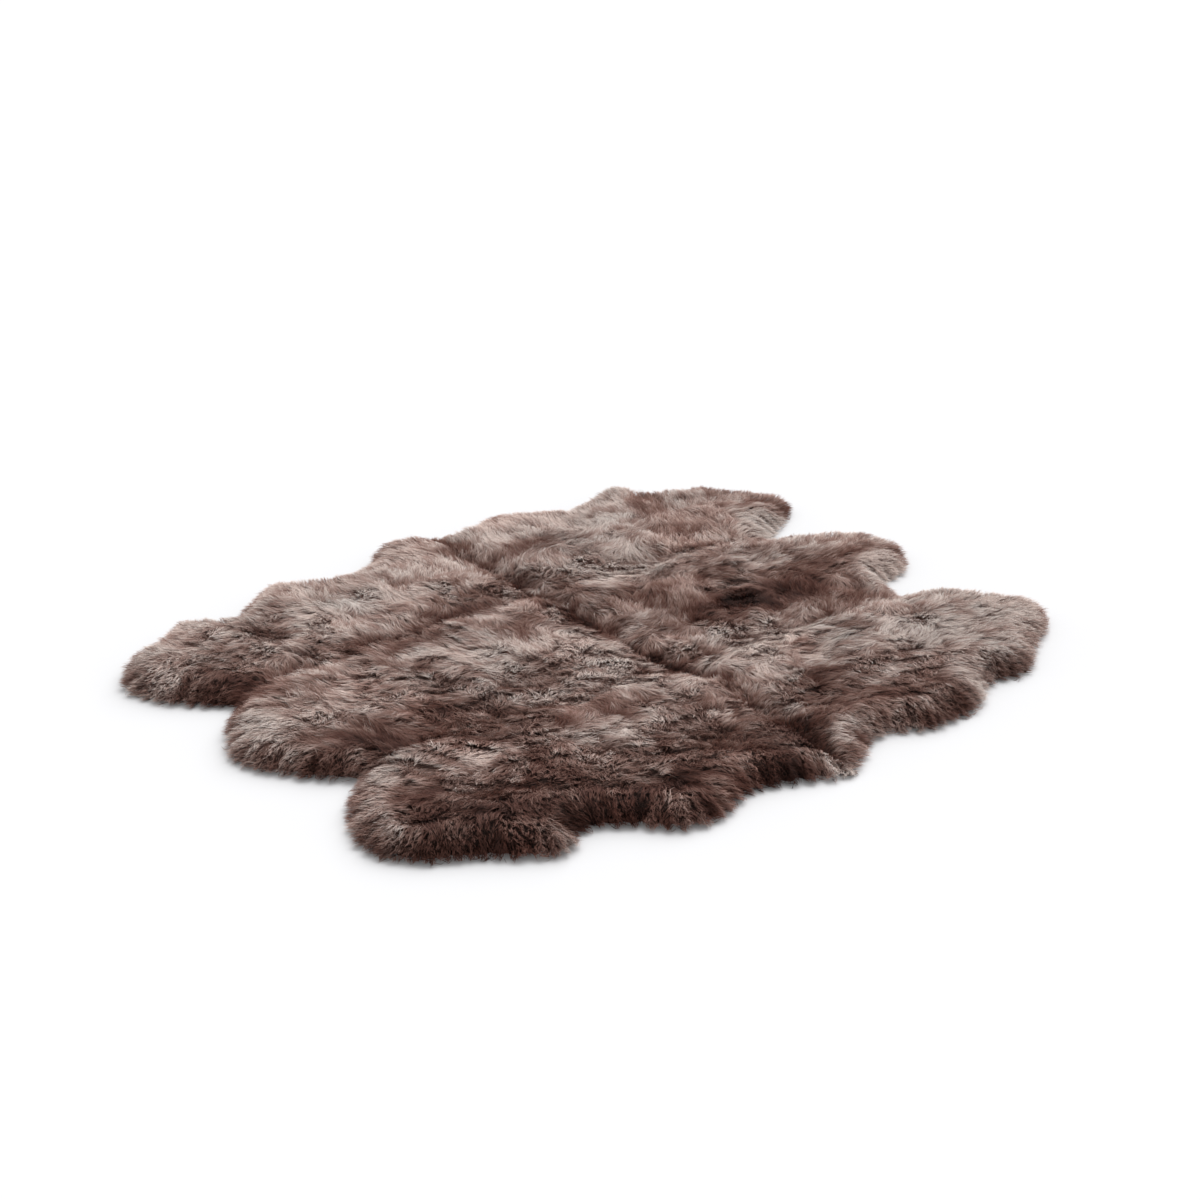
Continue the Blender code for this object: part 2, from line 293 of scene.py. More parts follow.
# %% [markdown]
# ## Rims and seams
#
# Two things steer the wool most: how near the free edge is, and how near a seam is. The edge shows
# in a softened map of where wool is. The seams could be typed in as lines, but the map of owners
# has them, wherever neighbouring cells belong to different pelts: the cross seam parts left from
# right, the row seams part pelts on one side.

# %% Rim and seam maps
RIM_REACH = 0.050
LOBE_REACH = 0.095
SEAM_REACH = 0.020
SEAM_STRENGTH = 1.6

rim_map = softened(wool_here, RIM_REACH)
outward = -unit(slope(rim_map))
at_rim = np.clip(2 - 2 * rim_map, 0, 1)
lobe_map = softened(wool_here, LOBE_REACH)
lobe_flow = -slope(lobe_map) * LOBE_REACH

right_side = np.array([name.endswith("right") for name in pelts])
cross_cells = np.zeros_like(wool_here)
row_cells = np.zeros_like(wool_here)
for axis in (0, 1):
    other = np.roll(owner, 1, axis)
    meets = (owner != other) & (owner >= 0) & (other >= 0)
    across = right_side[owner] != right_side[other]
    cross_cells += meets & across
    row_cells += meets & ~across


def near_seam(seam_cells, reach):
    """How near each cell is to a seam, from 0 to 1."""
    seam_map = softened(np.minimum(seam_cells, 1), reach)
    return seam_map / seam_map.max()


at_cross = np.clip(near_seam(cross_cells, SEAM_REACH) * SEAM_STRENGTH, 0, 1)
at_row = np.clip(near_seam(row_cells, SEAM_REACH) * SEAM_STRENGTH, 0, 1)
off_cross = -unit(slope(at_cross))
off_row = -unit(slope(near_seam(row_cells, SEAM_REACH)))
print("seam cells:", int(cross_cells.sum()), "across,", int(row_cells.sum()), "in rows")

# %% [markdown]
# ## Wool past the edge and over the seams
#
# Some tips stray past the solid's edge, where the map holds only floor, so the height goes on
# outward for about a centimetre, low and fading. The solids also dip deeply where they meet. On the
# real rug the long wool closes over most of that dip, and a shallow furrow stays. So the height is
# raised towards that of the wool around, and less at the cross seam, where the furrow is deepest.

# %% Carry the height past the edge and over the seams
RIM_FADE = 0.010
SKIRT_HEIGHT = 0.012
SKIRT_FADE = 3
FILL_REACH = 0.045
FILL_STRENGTH = 1.4
DEEPEST_DIP = 0.02
ROW_FILL = 0.7
CROSS_FILL = 0.45

spread = softened(wool_here, RIM_FADE)
skirt = np.minimum(averaged(height, RIM_FADE / 2, 0.05), SKIRT_HEIGHT)
wool_top = np.where(wool_here > 0, height, skirt * np.clip(spread * SKIRT_FADE, 0, 1))
full_top = averaged(height, FILL_REACH)
lacking = np.clip(full_top - height, 0, DEEPEST_DIP) * wool_here
row_fill = ROW_FILL * np.clip(near_seam(row_cells, FILL_REACH) * FILL_STRENGTH, 0, 1)
cross_fill = CROSS_FILL * np.clip(near_seam(cross_cells, FILL_REACH) * FILL_STRENGTH, 0, 1)
seam_rise = np.maximum(row_fill, cross_fill) * lacking
wool_top += seam_rise
print(f"wool over the seams rises by up to {seam_rise.max() * 1000:.1f} mm")

# %% [markdown]
# ## How the wool is combed
#
# At the free edge wool falls outward, along the seams it parts, downhill it falls down, and in
# between it swirls as it was last brushed. Combing each strand by hand is out of the question, so a
# map of arrows adds up these habits, each with a weight, and each wisp looks up its arrow.

# %% The comb map
SWIRL = 0.065
RIPPLE = 0.022
DOWNHILL_SOFT = 0.012
OUTWARD_PULL = 1.8
LOBE_PULL = 4.0
CROSS_PULL = 1.3
ROW_PULL = 0.5
MIDDLE_PULL = 0.45
SWIRL_PULL = 0.60
RIPPLE_PULL = 0.38
DOWNHILL_PULL = 0.8

grid_x = corner[0] + CELL * np.arange(cells[0])
grid_y = corner[1] + CELL * np.arange(cells[1])
plan_x, plan_y = np.meshgrid(grid_x, grid_y, indexing="ij")
plan = np.stack([plan_x, plan_y], axis=-1)
from_middle = unit(plan)
swirl = np.stack([drift(SWIRL), drift(SWIRL)], axis=-1)
ripple = np.stack([drift(RIPPLE), drift(RIPPLE)], axis=-1)
downhill = -slope(softened(wool_top, DOWNHILL_SOFT))
comb = (
    outward * (OUTWARD_PULL * at_rim)[..., None]
    + lobe_flow * LOBE_PULL
    + off_cross * (CROSS_PULL * at_cross)[..., None]
    + off_row * (ROW_PULL * at_row)[..., None]
    + from_middle * MIDDLE_PULL
    + swirl * SWIRL_PULL
    + ripple * RIPPLE_PULL
    + downhill * DOWNHILL_PULL
)
comb_heading = unit(comb)
print("comb map made")

# %% [markdown]
# ## Where the comb opens and closes
#
# In some spots the arrows point away from each other, and in others they run together. Strands
# combed strictly would leave a star-shaped parting in the first and stop at one line in the second.
# Two maps mark them, so that wisps are ruffled in the first and crossed over in the second.

# %% Opened and closed places
OPEN_SOFT = 0.008
WIDE_OPEN = 55.0
CLOSE_SOFT = 0.012
FULLY_CLOSED = 30.0

spreading = slope(comb_heading[..., 0])[..., 0] + slope(comb_heading[..., 1])[..., 1]
opened = np.clip(softened(spreading, OPEN_SOFT) / WIDE_OPEN, 0, 1)
closed = np.clip(-softened(spreading, CLOSE_SOFT) / FULLY_CLOSED, 0, 1)
print(f"the comb opens over {opened[owner >= 0].mean():.3f} of the rug")

# %% [markdown]
# ## Streaks
#
# Combed wool never looks evenly grained: a slightly paler or darker streak runs along with the
# comb for as long as a finger. Plain noise would give round blots, so the noise is averaged along
# the comb's own arrows, which draws each blot out into a streak.

# %% Streak maps
Streak = namedtuple("Streak", "share width length")
FINE_STREAK = Streak(0.8, 0.006, 0.024)
BROAD_STREAK = Streak(0.6, 0.014, 0.060)
STREAK_STEPS = 6


def streaks(width, length, along_map):
    """A soft random map around 0, drawn out along a map of arrows."""
    field = drift(width)
    drawn = read(field, plan)
    for way in (-1, 1):
        places = plan.copy()
        for _ in range(STREAK_STEPS):
            places = places + read(along_map, places) * way * length / (2 * STREAK_STEPS)
            drawn = drawn + read(field, places)
    return drawn / drawn.std()


streak_map = np.zeros_like(wool_here)
for streak in (FINE_STREAK, BROAD_STREAK):
    streak_map += streak.share * streaks(streak.width, streak.length, comb_heading)
print(f"streaks made, from {streak_map.min():.1f} to {streak_map.max():.1f}")

# %% [markdown]
# ## Creases
#
# Where one row of locks ends and the next begins, the wool opens in a dark, wavy crease across the
# way it is combed. The same averaged noise gives these, drawn out across the comb, and only its
# strongest places are kept. The wool is sunk there, and painted shade darkens it further on. A soft
# map gives some parts of the rug many creases and others few.

# %% Crease map
CREASE_WIDTH = 0.0070
CREASE_LENGTH = 0.045
CREASE_DEEP = 0.0024
CREASE_FROM = 0.7
CREASE_FULL = 1.6

across_comb = np.stack([-comb_heading[..., 1], comb_heading[..., 0]], axis=-1)
crease_map = np.clip(streaks(CREASE_WIDTH, CREASE_LENGTH, across_comb) - CREASE_FROM, 0, CREASE_FULL)
crease_map *= uneven(share=0.7, change=0.6, radius=0.060, least=0, most=1.4) * (1 - at_rim)
wool_top -= CREASE_DEEP * crease_map
print(f"creases over {(crease_map[owner >= 0] > 0.2).mean():.2f} of the rug")

# %% [markdown]
# ## Painted light and shade in places
#
# On the real rug the wool is paler where it lies smooth and catches the light, and darker where it
# has fallen apart in a hollow and lies in shade. Much of that comes from the shape, but the larger
# places are painted into the tone as light and shade, and listed: the middle, how far the place
# reaches along and across, its turn in degrees, and its change of tone, a power of e: about 0.7
# doubles the light and -0.7 halves it. A little noise bends the edges, so that no place reads as an
# ellipse.

# %% Painted light and shade in places
Place = namedtuple("Place", "x y reach width turn change")
LIGHT_AND_SHADE_PLACES = [Place(*row) for row in (
    # the far left pelt
    (-0.3, 0.56, 0.32, 0.14, 10, 0.4),
    (-0.81, 0.24, 0.11, 0.06, 20, -1.5),
    (-0.58, 0.46, 0.07, 0.02, 60, -0.9),
    (-0.68, 0.36, 0.05, 0.08, 0, 0.4),
    (-0.91, 0.4, 0.05, 0.06, 0, 0.45),
    (-0.56, 0.29, 0.1, 0.04, 0, -0.65),
    (-0.37, 0.26, 0.09, 0.04, 0, -0.9),
    (-0.18, 0.31, 0.1, 0.04, 0, -0.85),
    (-0.02, 0.41, 0.12, 0.03, 0, 0.35),
    (-0.5, 0.43, 0.1, 0.05, 75, 0.8),
    (-0.29, 0.45, 0.09, 0.07, 0, 1.0),
    (-0.19, 0.51, 0.07, 0.04, 0, -0.85),
    (0.04, 0.66, 0.12, 0.022, 80, -1.3),
    # the far right pelt
    (0.38, 0.66, 0.32, 0.08, 0, 1.1),
    (0.38, 0.32, 0.24, 0.06, 0, 0.7),
    (0.78, 0.31, 0.09, 0.05, 20, 1.8),
    (0.17, 0.52, 0.11, 0.05, 0, -0.95),
    (0.32, 0.5, 0.12, 0.04, 0, -0.45),
    (0.11, 0.36, 0.08, 0.025, 90, -0.55),
    (0.61, 0.62, 0.1, 0.045, 60, -1.4),
    (0.81, 0.6, 0.07, 0.05, 0, -0.95),
    (0.56, 0.37, 0.1, 0.05, 0, -0.75),
    (0.85, 0.42, 0.08, 0.03, 75, -0.7),
    (0.36, 0.5, 0.12, 0.06, 60, 0.3),
    (0.22, 0.39, 0.05, 0.03, 0, -0.6),
    (0.27, 0.23, 0.08, 0.04, 0, 0.8),
    # the middle left pelt
    (-0.43, 0.1, 0.1, 0.025, 85, -0.6),
    (-0.72, 0.16, 0.1, 0.05, 0, -0.5),
    (-0.11, 0.12, 0.06, 0.03, 0, -0.9),
    (-0.12, 0.21, 0.08, 0.03, 0, 0.6),
    (-0.37, 0.19, 0.1, 0.035, 0, -0.75),
    (-0.69, -0.14, 0.09, 0.06, -10, -1.95),
    (-0.5, -0.13, 0.1, 0.05, 0, -1.25),
    (-0.27, -0.14, 0.1, 0.03, -20, -0.55),
    (-0.19, -0.04, 0.05, 0.03, -20, -0.5),
    (-0.81, -0.1, 0.08, 0.04, -30, -1.0),
    (-0.7, 0.02, 0.1, 0.05, 0, 0.5),
    (-0.31, 0.05, 0.13, 0.08, -20, 0.75),
    (-0.1, -0.06, 0.07, 0.1, 0, 0.6),
    (-0.11, -0.2, 0.12, 0.04, 0, 0.75),
    (-0.88, 0.0, 0.08, 0.05, 0, 0.55),
    # along the cross seam: painted shade in its furrow
    (0.015, 0.09, 0.19, 0.02, 90, -1.85),
    (0.03, -0.23, 0.09, 0.02, 5, -1.2),
    (0.02, -0.66, 0.09, 0.03, 90, -1.3),
    # the middle right pelt
    (0.39, -0.045, 0.18, 0.07, 0, -2.1),
    (0.22, 0.09, 0.09, 0.05, 0, -0.85),
    (0.61, -0.02, 0.16, 0.06, 20, -0.95),
    (0.38, 0.16, 0.12, 0.05, 0, -0.65),
    (0.1, 0.2, 0.07, 0.03, 90, -1.15),
    (0.8, 0.01, 0.07, 0.03, 10, -1.0),
    (0.2, -0.1, 0.09, 0.05, 0, -0.65),
    (0.81, -0.1, 0.09, 0.05, 0, 2.4),
    (0.24, -0.2, 0.09, 0.04, 0, 0.6),
    (0.6, -0.18, 0.07, 0.05, 0, -1.0),
    (0.42, -0.19, 0.06, 0.04, 0, -0.6),
    # the near left pelt
    (-0.69, -0.61, 0.18, 0.075, -20, -2.0),
    (-0.83, -0.48, 0.08, 0.03, -60, -0.8),
    (-0.64, -0.51, 0.12, 0.03, -10, -0.6),
    (-0.55, -0.23, 0.18, 0.03, -5, -0.75),
    (-0.43, -0.31, 0.2, 0.04, 0, -0.95),
    (-0.53, -0.49, 0.1, 0.07, 10, -1.3),
    (-0.75, -0.41, 0.1, 0.04, 10, -1.4),
    (-0.89, -0.38, 0.05, 0.05, 0, 0.5),
    (-0.37, -0.68, 0.12, 0.05, 0, -2.3),
    (-0.51, -0.6, 0.06, 0.05, 0, -1.15),
    (-0.57, -0.71, 0.07, 0.04, 0, 2.0),
    (-0.29, -0.57, 0.14, 0.06, 0, -0.6),
    (-0.1, -0.62, 0.09, 0.11, 0, -1.15),
    (-0.11, -0.76, 0.08, 0.05, -20, -1.8),
    (0.0, -0.8, 0.04, 0.04, 0, 1.3),
    (-0.38, -0.82, 0.11, 0.035, 0, 2.0),
    (-0.26, -0.44, 0.08, 0.05, 0, 0.65),
    (-0.11, -0.28, 0.07, 0.05, 0, 0.6),
    (-0.19, -0.37, 0.06, 0.04, 0, -0.75),
    (-0.6, -0.39, 0.06, 0.04, 0, 1.05),
    # the near right pelt
    (0.14, -0.62, 0.1, 0.06, 0, -1.1),
    (0.21, -0.5, 0.1, 0.05, 0, -1.35),
    (0.3, -0.62, 0.06, 0.05, 0, -1.15),
    (0.39, -0.7, 0.05, 0.04, 0, -1.0),
    (0.18, -0.75, 0.08, 0.04, 0, 0.9),
    (0.5, -0.7, 0.07, 0.05, 0, 1.7),
    (0.58, -0.7, 0.06, 0.04, 0, -1.2),
    (0.57, -0.43, 0.11, 0.07, -30, 1.9),
    (0.26, -0.29, 0.16, 0.05, 10, 1.35),
    (0.83, -0.4, 0.1, 0.14, 0, 1.0),
    (0.43, -0.32, 0.09, 0.02, 0, -0.75),
    (0.28, -0.41, 0.06, 0.03, 0, 0.75),
)]
EDGE_BEND = 0.014
EDGE_BEND_WIDTH = 0.025

bent_x = plan_x + EDGE_BEND * drift(EDGE_BEND_WIDTH)
bent_y = plan_y + EDGE_BEND * drift(EDGE_BEND_WIDTH)
# painted light and shade, added up over the places
placed_light_and_shade = np.zeros_like(wool_here)
for place in LIGHT_AND_SHADE_PLACES:
    turn = math.radians(place.turn)
    on = (bent_x - place.x) * math.cos(turn) + (bent_y - place.y) * math.sin(turn)
    off = (bent_y - place.y) * math.cos(turn) - (bent_x - place.x) * math.sin(turn)
    placed_light_and_shade += place.change * np.exp(-((on / place.reach) ** 2 + (off / place.width) ** 2))
print(f"{len(LIGHT_AND_SHADE_PLACES)} places, from {placed_light_and_shade.min():.2f} to {placed_light_and_shade.max():.2f}")

# %% [markdown]
# ## Curly places
#
# In a few hollows the long outer wool has opened and the short, curly underside of the fleece
# shows: the tips stand up and point every way. Wool of its own would be costly, so the same strands
# are stood up, shortened and turned at random wherever this map is strong.

# %% Curly places
Curl = namedtuple("Curl", "x y reach width")
CURLS = [Curl(*row) for row in (
    (-0.37, 0.26, 0.08, 0.03),
    (-0.24, -0.11, 0.07, 0.03),
    (-0.14, -0.6, 0.09, 0.08),
    (0.09, -0.6, 0.04, 0.05),
    (0.42, -0.1, 0.09, 0.03),
    (0.32, 0.18, 0.06, 0.03),
    (0.24, 0.38, 0.04, 0.02),
    (-0.62, -0.53, 0.1, 0.03),
    (0.59, -0.17, 0.04, 0.02),
)]
curly = np.zeros_like(wool_here)
for curl in CURLS:
    away = ((bent_x - curl.x) / curl.reach) ** 2 + ((bent_y - curl.y) / curl.width) ** 2
    curly = np.maximum(curly, np.exp(-away))
print(f"curly share {curly[owner >= 0].mean():.3f}")

# %% [markdown]
# ## Building a finish from nodes
#
# Both finishes, wool and suede, need the same few steps: make a node, map a noise to a range,
# and let a fine noise drive roughness and bump. As helpers they keep both materials short.

# %% Helpers for materials
def made_node(material, kind, inputs, **settings):
    """A new node with these inputs and settings."""
    node = material.node_tree.nodes.new(kind)
    for name, value in settings.items():
        setattr(node, name, value)
    for name, value in inputs.items():
        node.inputs[name].default_value = value
    return node


def linked(material, output, target):
    """Joins an output to an input."""
    material.node_tree.links.new(output, target)


def noise(material, **inputs):
    """A noise in the object's own coordinates."""
    place = made_node(material, "ShaderNodeTexCoord", {})
    made = made_node(material, "ShaderNodeTexNoise", inputs)
    linked(material, place.outputs["Object"], made.inputs["Vector"])
    return made.outputs["Fac"]


def ranged(material, source, start, end):
    """A value mapped from one range to another."""
    values = {"From Min": start[0], "From Max": start[1], "To Min": end[0], "To Max": end[1]}
    made = made_node(material, "ShaderNodeMapRange", values)
    linked(material, source, made.inputs["Value"])
    return made.outputs["Result"]


def ramped(material, source, *stops):
    """A value turned into a colour by stops of (position, colour)."""
    made = made_node(material, "ShaderNodeValToRGB", {})
    ends = made.color_ramp.elements
    ends[0].position, ends[0].color = stops[0]
    ends[1].position, ends[1].color = stops[-1]
    for position, colour in stops[1:-1]:
        ends.new(position).color = colour
    linked(material, source, made.inputs["Fac"])
    return made.outputs["Color"]


def multiplied(material, first, second):
    """A node that multiplies two colours."""
    made = made_node(material, "ShaderNodeMix", {"Factor": 1.0}, data_type="RGBA", blend_type="MULTIPLY")
    linked(material, first, made.inputs["A"])
    linked(material, second, made.inputs["B"])
    return made


def grained(material, grain, roughness, strength, depth):
    """Lets a noise drive the shader's roughness and a bump."""
    shader = material.node_tree.nodes["Principled BSDF"]
    linked(material, ranged(material, grain, (0, 1), roughness), shader.inputs["Roughness"])
    bump = made_node(material, "ShaderNodeBump", {"Strength": strength, "Distance": depth})
    linked(material, grain, bump.inputs["Height"])
    linked(material, bump.outputs["Normal"], shader.inputs["Normal"])


# %% [markdown]
# ## Wool as a material
#
# This wool is dyed a warm grey brown, and its tips have bleached a little, so a strand runs from
# dark at the root to pale at the tip; the dark at the root is partly painted shade of the deep
# pile. An image of fur would lie flat on the strands, so the colour is worked out from two values
# kept in the mesh: "along", the position on the strand, and "tone".
# Deep down a curly noise stands for the crimp of the underwool, and a fine noise gives the fibres
# their roughness. Light passes through thin wool, so about a third of the shader is translucent.

# %% Wool material
# the root colour is partly the dyed root and partly painted shade of the deep pile
SHADED_ROOT_BROWN = (0.080, 0.043, 0.035, 1)
MIDDLE_BROWN = (0.240, 0.158, 0.134, 1)
TIP_TAUPE = (0.430, 0.322, 0.284, 1)
ROOT_END = 0.05
MIDDLE_AT = 0.45
BED_ALONG = 0.18
CRIMP_SCALE = 300
CRIMP_NOISE = (0.38, 0.66)
CRIMP_TONE = (0.25, 1.75)
FIBRE_SCALE = 900
WOOL_ROUGHNESS = (0.55, 0.85)
SEE_THROUGH = 0.35
WOOL_SHINE = {
    "Specular IOR Level": 0.07,
    "Sheen Weight": 0.02,
    "Sheen Roughness": 0.5,
    "Sheen Tint": (0.85, 0.76, 0.72, 1),
}


def wool_material():
    material = plain_material("dyed_wool", MIDDLE_BROWN, WOOL_ROUGHNESS[0])
    nodes = material.node_tree.nodes
    shader = nodes["Principled BSDF"]
    along = made_node(material, "ShaderNodeAttribute", {}, attribute_name="along").outputs["Fac"]
    tone = made_node(material, "ShaderNodeAttribute", {}, attribute_name="tone").outputs["Color"]

    stops = ((ROOT_END, SHADED_ROOT_BROWN), (MIDDLE_AT, MIDDLE_BROWN), (1.0, TIP_TAUPE))
    length_colour = ramped(material, along, *stops)
    crimp = noise(material, Scale=CRIMP_SCALE, Detail=3, Roughness=0.65, Distortion=1.6)
    crimped = multiplied(material, length_colour, ranged(material, crimp, CRIMP_NOISE, CRIMP_TONE))
    deep_down = ranged(material, along, (BED_ALONG, 2 * BED_ALONG), (1, 0))
    linked(material, deep_down, crimped.inputs["Factor"])
    colour = multiplied(material, crimped.outputs["Result"], tone).outputs["Result"]
    linked(material, colour, shader.inputs["Base Color"])

    fibre = noise(material, Scale=FIBRE_SCALE, Detail=2)
    grained(material, fibre, WOOL_ROUGHNESS, strength=0.35, depth=0.0004)
    for name, value in WOOL_SHINE.items():
        shader.inputs[name].default_value = value

    glow = made_node(material, "ShaderNodeBsdfTranslucent", {})
    linked(material, colour, glow.inputs["Color"])
    soft = made_node(material, "ShaderNodeMixShader", {"Fac": SEE_THROUGH})
    linked(material, shader.outputs["BSDF"], soft.inputs[1])
    linked(material, glow.outputs["BSDF"], soft.inputs[2])
    linked(material, soft.outputs["Shader"], nodes["Material Output"].inputs["Surface"])
    return material


wool = wool_material()
print("wool runs from", SHADED_ROOT_BROWN[:3], "to", TIP_TAUPE[:3])

# %% [markdown]
# ## Locks and wisps
#
# Real wool is grouped twice: fibres cling together in wisps a few millimetres across, and the wisps
# gather in locks as wide as two fingers. Hair curves are usual in Blender, but the finished part
# needs meshes, so the strands are thin ribbons. Their tips are placed first, because tips are what
# the eye sees: an even grid of wisps, moved a little at random, and more where the wool is steep
# and has more surface.

# %% Spread the locks and wisps
LOCK_PITCH = 0.036
LOCK_EDGE = 0.25
LOCK_STRAY = 0.007
WISP_PITCH = 0.0059
STRANDS_PER_WISP = 4
STEEPEST = 5.5
RIM_THICK = 1.1
SLOPE_SOFT = 0.006


def scattered(pitch, disorder=0.5):
    """Points on a grid of this pitch, each moved at random, over the whole map."""
    columns = np.arange(corner[0], far_corner[0], pitch)
    rows = np.arange(corner[1], far_corner[1], pitch)
    points = np.stack(np.meshgrid(columns, rows, indexing="ij"), axis=-1).reshape(-1, 2)
    return points + chance.uniform(-disorder, disorder, points.shape) * pitch


def nearest_cell(field, places):
    """The map's value in the cell under each place."""
    cell = np.round((places - corner) / CELL).astype(int)
    cell = np.clip(cell, 0, np.array(field.shape[:2]) - 1)
    return field[cell[..., 0], cell[..., 1]]


locks = scattered(LOCK_PITCH, disorder=0.45)
locks = locks[nearest_cell(rim_map, locks) > LOCK_EDGE]
steep = np.sqrt(1 + (slope(softened(height, SLOPE_SOFT)) ** 2).sum(-1))
wisps = scattered(WISP_PITCH)
more = scattered(WISP_PITCH / math.sqrt(STEEPEST))
crowd = steep * (1 + RIM_THICK * at_rim * np.clip(steep - 1, 0, 1)) - 1
more = more[chance.uniform(0, STEEPEST, len(more)) < nearest_cell(crowd, more)]
wisps = np.concatenate([wisps, more])
wisps = wisps[nearest_cell(owner, wisps) >= 0]

lock_tree = KDTree(len(locks))
for number, place in enumerate(locks):
    lock_tree.insert((place[0], place[1], 0), number)
lock_tree.balance()


def lock_near(places):
    """The number of the lock nearest to each place."""
    return np.array([lock_tree.find((x, y, 0))[1] for x, y in places])


lock_of = lock_near(wisps + chance.normal(0, LOCK_STRAY, wisps.shape))
print(len(locks), "locks and", len(wisps), "wisps")

# %% [markdown]
# ## Which way each wisp lies
#
# A lock hangs together because its wisps share a habit: a turn off the comb, a height, a tone and a
# length, drawn once for each lock. A wisp follows the comb, turned by its lock, by a slow wave and
# by its own whim, and calmer at the rim. In curly and opened places it turns far more.

# %% Turn the locks and wisps
LOCK_TURN = math.radians(13)
LOCK_LIFT = 0.0022
LOCK_RUN = (0.75, 1.3)


def turned(arrows, angles):
    """Arrows turned by angles."""
    c, s = np.cos(angles), np.sin(angles)
    return np.stack([arrows[:, 0] * c - arrows[:, 1] * s, arrows[:, 0] * s + arrows[:, 1] * c], -1)


lock_turn = chance.normal(0, LOCK_TURN, len(locks))
lock_lift = chance.normal(0, LOCK_LIFT, len(locks))
lock_tone = chance.normal(0, 1, len(locks))
lock_run = chance.uniform(*LOCK_RUN, len(locks))
lock_heading = turned(read(comb_heading, locks), lock_turn)

WAVE_TURN = math.radians(12)
WAVE_WIDTH = 0.016
WISP_TURN = math.radians(9)
CURL_TURN = math.radians(80)
OPEN_TURN = 0.5
FULLY_STEEP = 1.2
RIM_CALM = 0.5

top_slope = slope(softened(wool_top, SLOPE_SOFT))


def steepness(places):
    """How steep the wool's surface is at each place, from 0 to 1."""
    return np.clip(np.linalg.norm(read(top_slope, places), axis=1) / FULLY_STEEP, 0, 1)


calm = 1 - RIM_CALM * read(at_rim, wisps)
curl_share = read(curly, wisps)
open_share = read(opened, wisps)
wave_turn = WAVE_TURN * read(drift(WAVE_WIDTH), wisps)
turns = (lock_turn[lock_of] + wave_turn + chance.normal(0, WISP_TURN, len(wisps))) * calm
ruffled = np.maximum(curl_share, OPEN_TURN * open_share)
turns += chance.normal(0, CURL_TURN, len(wisps)) * ruffled
wisp_heading = turned(read(comb_heading, wisps), turns)
print(f"wisps turn by {math.degrees(np.abs(turns).mean()):.1f} degrees on average")

# %% [markdown]
# ## How far each wisp runs
#
# A wisp that lies flat runs about three centimetres from root to tip. On steep wool, along the
# seams and in curly or opened places it runs less and so stands up more. Wisps in front of their
# lock's middle lie higher, as shingles do. Where the comb closes, the tips are moved on, so that
# they cross those that come towards them.

# %% Lay the wisps
RUN = 0.033
RUN_SPREAD = (0.8, 1.25)
STEEP_RUN = 0.38
SEAM_SHORT = 0.6
ROW_SHARE = 0.4
CURL_SHORT = 0.6
OPEN_SHORT = 0.6
CLOSE_CROSS = 0.4
LOCK_PULL = 0.06
MOST_FORWARD = 0.8
RIM_EVEN = 0.3

seam_share = np.maximum(read(at_cross, wisps), ROW_SHARE * read(at_row, wisps))
wisp_run = RUN * lock_run[lock_of] * chance.uniform(*RUN_SPREAD, len(wisps))
wisp_run *= (1 - SEAM_SHORT * seam_share) * (1 - (1 - STEEP_RUN) * steepness(wisps))
wisp_run *= (1 - CURL_SHORT * curl_share) * (1 - OPEN_SHORT * open_share)
forward = ((wisps - locks[lock_of]) * lock_heading[lock_of]).sum(1) / LOCK_PITCH
forward = np.clip(forward, -MOST_FORWARD, MOST_FORWARD) * (1 - RIM_EVEN * read(at_rim, wisps))
wisp_tip = wisps + (locks[lock_of] - wisps) * (LOCK_PULL * calm)[:, None]
wisp_tip += wisp_heading * (CLOSE_CROSS * wisp_run * read(closed, wisps))[:, None]
print(f"a wisp runs {wisp_run.mean() * 1000:.1f} mm sideways on average")

# %% [markdown]
# ## What makes the wool darker or paler
#
# Hollows between the locks get painted shade, since tips turn away from the light there. So do the
# partings along the seams, as thin lines that waver and fade in and out. Beyond that the fleece
# took the dye unevenly, which soft random maps give.

# %% Maps for the tone
HOLLOW_NEAR = 0.005
HOLLOW_FAR = 0.022
HOLLOW_DEPTH = 0.004
HOLLOW_LIMITS = (-1.5, 2.0)
WAVER = 0.016
WAVER_WIDTH = 0.030
CROSS_LINE_WIDTH = 0.008
ROW_LINE_WIDTH = 0.009
WISP_TONE = 0.19

height_even = averaged(wool_top, HOLLOW_NEAR)
height_wide = averaged(wool_top, HOLLOW_FAR)
hollow = np.clip((height_wide - height_even) / HOLLOW_DEPTH, *HOLLOW_LIMITS)
wavering = plan + WAVER * np.stack([drift(WAVER_WIDTH), drift(WAVER_WIDTH)], axis=-1)
cross_line = read(near_seam(cross_cells, CROSS_LINE_WIDTH), wavering)
cross_line = cross_line * uneven(share=0.85, change=0.5, radius=0.050, least=0.1, most=1.4)
row_line = read(near_seam(row_cells, ROW_LINE_WIDTH), wavering)
row_line = row_line * uneven(share=0.5, change=0.6, radius=0.060, least=0, most=1)
# painted shade in the partings along the seams
parting_shade = 0.90 * cross_line + 0.05 * at_cross + 0.75 * row_line + 0.08 * at_row
wisp_tone = chance.normal(0, WISP_TONE, len(wisps))
tone_map = drift(0.080) * 0.5 + drift(0.040) * 0.4 + drift(0.018) * 0.3
warm_map = drift(0.040)
print(f"partings are darker by up to {parting_shade.max():.2f}")

# %% [markdown]
# ## Filling the thin places
#
# Tips are spread evenly, but the strands behind them aren't: here and there so few lie over the
# underwool that bare spots would show. More wool everywhere would cost too much, so extra wisps
# go only to the cells with the fewest strands over them. They are short, ruffled, and a little
# lower than the rest, and darker with the painted shade of a lock's back.

